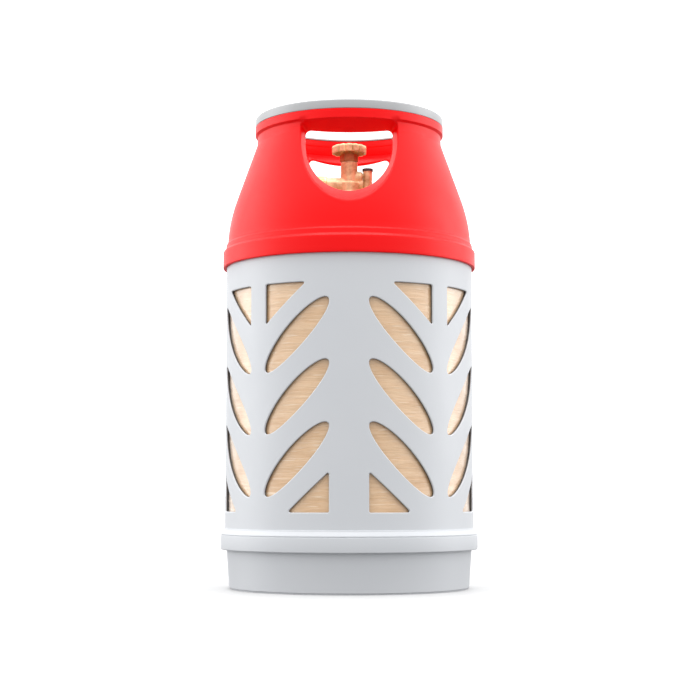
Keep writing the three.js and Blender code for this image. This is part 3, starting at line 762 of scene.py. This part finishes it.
def side_normals(vertices, side):
    """The true normals of the vertices that lie on a turned side, by index."""
    slopes = []
    for i, p in enumerate(side):
        along = side[min(i + 1, len(side) - 1)] - side[max(i - 1, 0)]
        slopes.append(Vector((along.y, -along.x)).normalized())
    normals = {}
    for i, v in enumerate(vertices):
        r = math.hypot(v.x, v.y)
        for k in range(len(side) - 1):
            a, b = side[k], side[k + 1]
            if a.y <= v.z <= b.y and b.y - a.y > 1e-6 and SIDE_LOW < v.z < SIDE_HIGH:
                share = (v.z - a.y) / (b.y - a.y)
                if abs(a.x + (b.x - a.x) * share - r) < 0.03:
                    slope = slopes[k].lerp(slopes[k + 1], share).normalized()
                    normals[i] = Vector((v.x / r * slope.x, v.y / r * slope.x, slope.y))
                break
    return normals


def top_ring():
    """The grey ring: a cap over the rim's tongue."""
    low, inner_r, plate = 552.5, RIM_R - 3.3, 2
    outline = rounded([
        (inner_r, low, 0.3), (RIM_R, low, 0.5), (RIM_R, RING_TOP, 2.4), (RING_HOLE_R, RING_TOP, 0.9),
        (RING_HOLE_R, RING_TOP - plate), (inner_r, RING_TOP - plate),
    ])
    vertices, faces = turned(outline)
    return build("grip_ring_cap", vertices, faces, RING_GREY, "cylinder", ["grip_ring"], "grey_plastic",
                 sharp=32)


# ---------------------------------------------------------------- vessel

def vessel():
    """The wound shell. Its surface rises and falls slightly, as bands of fibre lie over each other."""
    depth = 75
    wall = 3.6
    low_line, high_line = 88, 388
    bottom_r, top_r = 9.3, 18.3

    def side(inset):
        wide = VESSEL_R - inset
        points = []
        first, last = math.asin(bottom_r / wide), math.asin(top_r / wide)
        for k in range(31):
            angle = first + (math.pi / 2 - first) * k / 30
            points.append(Vector((wide * math.sin(angle), low_line - (depth - inset) * math.cos(angle))))
        points += [Vector((wide, low_line + (high_line - low_line) * k / 100)) for k in range(1, 100)]
        for k in range(31):
            angle = math.pi / 2 - (math.pi / 2 - last) * k / 30
            points.append(Vector((wide * math.sin(angle), high_line + (depth - inset) * math.cos(angle))))
        return points

    inner = side(wall)[::-1]
    outline = side(0) + inner[::6] + [inner[-1]]

    def bands(r, z, angle):
        if r < VESSEL_R - 3.5 and low_line < z < high_line:
            return r
        wave = math.sin(z * 0.9 + 3 * math.sin(angle)) + math.sin(z * 0.37 - 2 * math.sin(angle + 1))
        return r - 0.12 * (2 - wave) * min(1, r / 60)

    vertices, faces = turned(outline, columns=160, turn=bands)
    return build("wound_shell", vertices, faces, FIBRE, "cylinder", ["fibre_overwrap"], "glass_fibre",
                 sharp=50)


# ---------------------------------------------------------------- valve

def along_x(part, height):
    """A turned part laid along +X, its axis at a height."""
    return moved(part, Matrix.Translation((0, 0, height)) @ Matrix.Rotation(math.pi / 2, 4, "Y"))


def solid(outline, columns=96, turn=None):
    """A turned solid whose outline starts and ends on the axis."""
    return merged(*turned(outline, columns, turn))


def fused(name, parts, cuts, voxel, material, body, nodes, slot):
    """One forged body: the parts are remeshed together, which rounds their joins, and are then cut."""
    vertices, faces = joined(*parts)
    piece = build(name, vertices, faces, material, body, nodes, slot)
    remesh = piece.modifiers.new("fuse", "REMESH")
    remesh.mode = "VOXEL"
    remesh.voxel_size = voxel * MM
    remesh.use_smooth_shade = True
    smooth = piece.modifiers.new("soften", "SMOOTH")
    smooth.factor = 0.5
    smooth.iterations = 4
    tools = []
    for k, (more, their) in enumerate(cuts):
        mesh = bpy.data.meshes.new(f"{name}_cut_{k}")
        mesh.from_pydata([Vector(v) * MM for v in more], [], their)
        tool = bpy.data.objects.new(mesh.name, mesh)
        bpy.context.scene.collection.objects.link(tool)
        cut = piece.modifiers.new("cut", "BOOLEAN")
        cut.object = tool
        cut.solver = "EXACT"
        tools.append(tool)
    bpy.context.view_layer.update()
    evaluated = piece.evaluated_get(bpy.context.evaluated_depsgraph_get())
    mesh = bpy.data.meshes.new_from_object(evaluated)
    piece.modifiers.clear()
    piece.data = mesh
    mesh.polygons.foreach_set("use_smooth", [True] * len(mesh.polygons))
    mesh.set_sharp_from_angle(angle=math.radians(50))
    for tool in tools:
        bpy.data.objects.remove(tool)
    return piece


def threaded(radius, depth, low, high, pitch, inner=0):
    """Outline of a screw's side seen as rings: crests at the radius and roots below it, from low to high."""
    turns = int((high - low) / pitch)
    points = [(inner, low), (radius - depth, low)]
    for k in range(turns):
        z = low + (k + 0.5) * pitch
        points += [(radius - depth, z - 0.35 * pitch), (radius, z - 0.08 * pitch), (radius, z + 0.08 * pitch)]
        points.append((radius - depth, z + 0.35 * pitch))
    return [Vector(p) for p in points + [(radius - depth, high), (inner, high)]]


OUTLET_Z = 482.5
OUTLET_THREAD_R = 10.9
OUTLET_PITCH = 1.81
STUB_Z = 493
LUG_Z = 485
RELIEF_X = 22.4
RELIEF_Z = 495.3


def valve_forging():
    """The valve's body: a column with the outlet arm, the relief stub and a lug, and the outlet's thread."""
    column = solid(rounded([
        (0, 449.9), (12.2, 449.9, 0.4), (12.2, 470.4), (16, 470.4, 0.6), (16, 474, 0.6), (13, 475),
        (13, 486.6, 1.2), (10.1, 486.6, 1.4), (10.1, 512, 0.6), (0, 512),
    ]))
    arm = along_x(solid(rounded([(0, -29), (10.5, -29, 0.6), (10.5, -5, 0.4), (0, -5)])), OUTLET_Z)
    stub = along_x(solid(rounded([(0, 3), (7.5, 3, 0.4), (7.5, 16.4, 2.6), (0, 16.4)])), STUB_Z)
    lug = along_x(solid(rounded([(0, 3), (6.5, 3, 0.4), (6.5, 17.4, 0.8), (0, 17.4)])), LUG_Z)
    bore = along_x(solid([Vector(p) for p in ((0, -42), (3.5, -42), (3.5, -12), (0, -12))], 32), OUTLET_Z)
    pits = []
    for side in (-1, 1):
        pit = solid([Vector(p) for p in ((0, -1), (0.8, -1), (0.8, 3), (0, 3))], 16)
        spot = Matrix.Translation((side * 5, -12.6, 483.2)) @ Matrix.Rotation(math.pi / 2, 4, "X")
        pits.append(moved(pit, spot))
    forging = fused("valve_forging", [column, arm, stub, lug], [bore, *pits], 0.55,
                    BRASS, "cylinder", ["valve_body"], "brass")
    thread = threaded(OUTLET_THREAD_R, 0.9, -40, -28.4, OUTLET_PITCH, 3.5)
    vertices, faces = along_x(turned(thread, 96), OUTLET_Z)
    build("outlet_thread", vertices, faces, TURNED_BRASS, "cylinder", [], "brass", sharp=30)
    return forging


def wheel():
    """The handwheel: a shallow bell with scallops round its skirt, and a hub."""
    top, low = WHEEL_HIGH.z, WHEEL_LOW.z
    lobes, scallop = 14, 2.8
    bell = [Vector((3.1, top - 3.8)), Vector((6.2, top - 3.8)), Vector((6.2, top - 0.4))]
    bell += rounded([
        (6.6, top), (WHEEL_R, top, 3), (WHEEL_R, low, 0.8), (WHEEL_R - 2.6, low, 0.8), (WHEEL_R - 3, top - 5),
    ], False)
    bell += bezier((WHEEL_R - 3.4, top - 4), (17, top - 3), (7.2, top - 3), 8)
    bell += [Vector((7, low - 0.3)), Vector((6.4, low - 0.9)), Vector((3.1, low - 0.9))]
    outline = even(bell, 1.2)

    def scallops(r, z, angle):
        lobe = abs(math.cos(lobes / 2 * angle)) ** 0.7
        inner = 0.5 if z < top - 4 and r < WHEEL_R - 2 else 1
        return r - scallop * (1 - lobe) * eased((r - 14) / 5) * inner

    vertices, faces = turned(outline, columns=280, turn=scallops)
    return build("scalloped_wheel", vertices, faces, BRASS, "wheel", ["handwheel"], "brass", sharp=42)


def hexagon(r, angle, flat):
    """The radius at an angle of a hexagonal prism, its corners cut off by the turned outline."""
    within = (angle + math.pi / 6) % (math.pi / 3) - math.pi / 6
    return min(r, flat / math.cos(within))


def gland():
    """The gland nut: a turned neck with a hexagon above it."""
    neck_low, low, high = 503, 512.3, 521.8
    outline = rounded([
        (4.2, neck_low, 0.3), (7.6, neck_low, 0.4), (7.6, low), (9.9, low, 0.2), (11.4, low + 0.9),
        (11.4, 520.8), (9.9, high, 0.2), (4.6, high, 0.4), (4.2, 521.2),
    ])

    def flats(r, z, angle):
        return hexagon(r, angle, 9.75) if z > low - 0.1 else r

    vertices, faces = turned(even(outline, 1.5), 240, flats)
    # The gland nut takes the darker brass, which is painted shade for the wheel's shadow above it.
    return build("gland_hexagon", vertices, faces, PAINTED_SHADE_BRASS, "cylinder", ["gland_nut"], "brass", sharp=25)


def outlet_cap():
    """The cap nut: a closed cup with grip grooves, its mouth towards the valve."""
    low, high = size_of("outlet_cap")
    out_r, groove, count = 12.5, 0.8, 24
    outline = rounded([
        (0, low.x), (9.5, low.x, 2), (out_r, low.x + 2.6, 0.8), (out_r, high.x, 0.6), (11.25, high.x, 0.3),
        (11.25, low.x + 2.7, 0.3), (0, low.x + 2.7),
    ])

    def grooves(r, z, angle):
        if r < out_r - groove or not low.x + 3.5 < z < high.x - 2.2:
            return r
        return r - groove * max(0, math.cos(count * angle)) ** 3

    part = merged(*turned(even(outline, 1.6), 288, grooves))
    vertices, faces = along_x(part, OUTLET_Z)
    return build("grooved_cap", vertices, faces, TURNED_BRASS, "cap", ["outlet_cap"], "brass", sharp=38)


def relief_valve():
    """The relief valve's housing with the spigot that joins it to the stub, and its dust cap."""
    move = Matrix.Translation((RELIEF_X, 0, 0))
    housing = rounded([
        (5.5, 475.5, 0.4), (5.5, 488.2, 0.2), (5.1, 488.6, 0.2), (5.1, 489.4, 0.2), (5.5, 489.8, 0.2),
        (5.5, 501.5, 0.5), (4.6, 501.5, 0.2), (4.6, 498), (2.6, 498), (2.6, 493), (1.5, 493), (1.5, 491),
        (4, 491), (4, 475.5),
    ])
    spigot = along_x(merged(*turned(rounded([(1, -8), (3, -8, 0.3), (3, -4.6), (1, -4.6)]), 48)), RELIEF_Z)
    vertices, faces = moved(joined(turned(housing, 72), spigot), move)
    build("relief_tower", vertices, faces, BRASS, "cylinder", ["relief_housing"], "brass", sharp=35)

    cap = rounded([
        (0, 503.4), (5.8, 503.4, 0.3), (5.8, 500.9, 0.2), (6.5, 500.9, 0.2), (6.5, 504.3, 0.8), (0, 504.3),
    ])

    def ridges(r, z, angle):
        return r - 0.25 * max(0, math.cos(20 * angle)) if r > 6.3 and z < 503.7 else r

    vertices, faces = moved(merged(*turned(even(cap, 0.9), 160, ridges)), move)
    build("relief_dust_cap", vertices, faces, BLACK, "dust_cap", ["relief_cap"], "black_plastic", sharp=40)


def boss():
    """The neck boss that holds the valve, and the plug at the vessel's other pole."""
    flange_low, top, seat = 452.4, 470, 467.5
    outline = rounded([
        (12.5, flange_low), (35, flange_low, 0.5), (35, 456.3, 0.8), (19.5, 457.3, 1), (18, 458.5, 0.8),
        (18, top, 0.8), (15.2, top, 0.2), (15.2, seat), (12.5, seat),
    ])
    vertices, faces = turned(outline, 120)
    build("neck_insert", vertices, faces, TURNED_BRASS, "cylinder", ["neck_boss"], "brass", sharp=30)
    low, high = size_of("tail_boss")
    plug = rounded([
        (0, high.z), (9, high.z), (9, low.z, 1.2), (4, low.z, 0.4), (3.4, low.z + 1.6, 0.3), (0, low.z + 1.6),
    ])
    vertices, faces = merged(*turned(plug, 96))
    build("tail_plug", vertices, faces, BLACK, "cylinder", ["tail_boss"], "black_plastic", sharp=35)


def spring():
    """The relief spring, a wire on a helix with its end turns closed up."""
    low, high = size_of("relief_spring")
    wire, mean, turns, steps, sides = 0.45, 2.7, 5, 160, 10
    points = []
    for k in range(steps + 1):
        share = k / steps
        angle = TAU * turns * share
        height = low.z + wire + (high.z - low.z - 2 * wire) * (0.4 * share + 0.6 * eased(share))
        points.append(Vector((mean * math.cos(angle) + RELIEF_X, mean * math.sin(angle), height)))
    loops = []
    around = [TAU * j / sides for j in range(sides)]
    for k, here in enumerate(points):
        along = (points[min(k + 1, steps)] - points[max(k - 1, 0)]).normalized()
        out = Vector((here.x - RELIEF_X, here.y, 0)).normalized()
        side = along.cross(out).normalized()
        loops.append([here + wire * (out * math.cos(a) + side * math.sin(a)) for a in around])
    vertices, faces = loft(loops)
    faces += [tuple(reversed(range(sides))), tuple(range(len(vertices) - sides, len(vertices)))]
    vertices, faces = merged(vertices, faces)
    coil = build("relief_coil", vertices, faces, STEEL, "poppet", ["relief_spring"], "steel")
    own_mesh(coil)
    return coil


# ---------------------------------------------------------------- pieces

foot()
sleeve()
shroud()
top_ring()
vessel()
valve_forging()
wheel()
gland()
outlet_cap()
relief_valve()
boss()
spring()

CARRIED_OVER = {
    "liner": LINER,
    "neck_seal": RUBBER,
    "gland_seal": RUBBER,
    "spindle": TURNED_BRASS,
    "wheel_nut": STEEL,
    "valve_plug": TURNED_BRASS,
    "plug_pad": NYLON,
    "outlet_gasket": RUBBER,
    "relief_plug": TURNED_BRASS,
    "relief_poppet": TURNED_BRASS,
    "relief_seal": RUBBER,
    "relief_nut": STEEL,
}
for node, material in CARRIED_OVER.items():
    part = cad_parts[node]
    part.data.materials.clear()
    part.data.materials.append(material)
    if node != "liner":
        edges = part.modifiers.new("soft_edges", "BEVEL")
        edges.width = 0.15 * MM
        edges.segments = 2
        edges.angle_limit = math.radians(40)


# ---------------------------------------------------------------- floor, light and camera

FLOOR_REACH = 60
LIGHTS_AIM = Vector((0, 0, 0.3))


def studio():
    """A pale floor, a white world and softboxes. The floor neither lights the object nor shows in its gloss:
    the world's darker lower half stands in for it."""
    floor_mesh = bpy.data.meshes.new("floor")
    corners = [(x * FLOOR_REACH, y * FLOOR_REACH, 0) for x, y in ((-1, -1), (1, -1), (1, 1), (-1, 1))]
    floor_mesh.from_pydata(corners, [], [(0, 1, 2, 3)])
    n = Nodes("pale_floor")
    tone = n.mix(n.noise(n.place, 2, 2), (0.63, 0.63, 0.63, 1), (0.61, 0.61, 0.615, 1))
    floor_mesh.materials.append(n.finish(tone, n.spread(n.noise(n.place, 30, 2), 0.3, 0.7, 0.55, 0.7)))
    floor = bpy.data.objects.new("floor", floor_mesh)
    bpy.context.scene.collection.objects.link(floor)
    floor.visible_diffuse = False
    floor.visible_glossy = False

    world = bpy.data.worlds.new("studio")
    world.use_nodes = True
    tree = world.node_tree
    place = tree.nodes.new("ShaderNodeTexCoord")
    split = tree.nodes.new("ShaderNodeSeparateXYZ")
    tree.links.new(place.outputs["Generated"], split.inputs[0])

    def chain(value, *steps):
        """The value after a row of (operation, number) steps."""
        for operation, number in steps:
            step = tree.nodes.new("ShaderNodeMath")
            step.operation = operation
            tree.links.new(value, step.inputs[0])
            step.inputs[1].default_value = number
            value = step.outputs[0]
        return value

    # The world's strength is 1.7 at the sides and behind, down to 0.9 in front, and a quarter of that below.
    front = chain(
        split.outputs["Y"],
        ("MULTIPLY", -1), ("MAXIMUM", 0), ("POWER", 1.6), ("MULTIPLY", -0.8), ("ADD", 1.7),
    )
    below = chain(
        split.outputs["Z"],
        ("MULTIPLY", 12), ("ADD", 1), ("MAXIMUM", 0), ("MINIMUM", 1), ("MULTIPLY", 0.75), ("ADD", 0.25),
    )
    product = tree.nodes.new("ShaderNodeMath")
    product.operation = "MULTIPLY"
    tree.links.new(front, product.inputs[0])
    tree.links.new(below, product.inputs[1])
    background = tree.nodes["Background"]
    background.inputs["Color"].default_value = (1, 1, 1, 1)
    tree.links.new(product.outputs[0], background.inputs["Strength"])
    bpy.context.scene.world = world

    def softbox(name, at, wide, tall, watts, diffuse=True, glossy=True):
        light = bpy.data.lights.new(name, "AREA")
        light.shape = "RECTANGLE"
        light.size = wide
        light.size_y = tall
        light.energy = watts
        lamp = bpy.data.objects.new(name, light)
        lamp.location = at
        aim = LIGHTS_AIM - Vector(at)
        lamp.rotation_euler = aim.to_track_quat("-Z", "Y").to_euler()
        lamp.visible_camera = False
        lamp.visible_diffuse = diffuse
        lamp.visible_glossy = glossy
        bpy.context.scene.collection.objects.link(lamp)

    for side in (-1, 1):
        softbox("fill_box", (side * 1.35, -0.75, 0.75), 0.7, 1.5, 3, glossy=False)
        softbox("edge_box", (side * 1.45, 0.15, 0.5), 1.0, 1.7, 12, diffuse=False)
    softbox("top_box", (0, -0.2, 1.9), 1.2, 1.2, 15)


def camera():
    """The camera stands low in front, 111 mm above the floor, and looks slightly up."""
    data = bpy.data.cameras.new("camera")
    data.lens = 82.3
    data.sensor_width = 36
    view = bpy.data.objects.new("camera", data)
    view.location = (0.001, -1.917, 0.111)
    view.rotation_euler = (math.radians(90 + 5.14), 0, 0)
    bpy.context.scene.collection.objects.link(view)
    bpy.context.scene.camera = view


studio()
camera()
bpy.context.scene.view_settings.view_transform = "Standard"
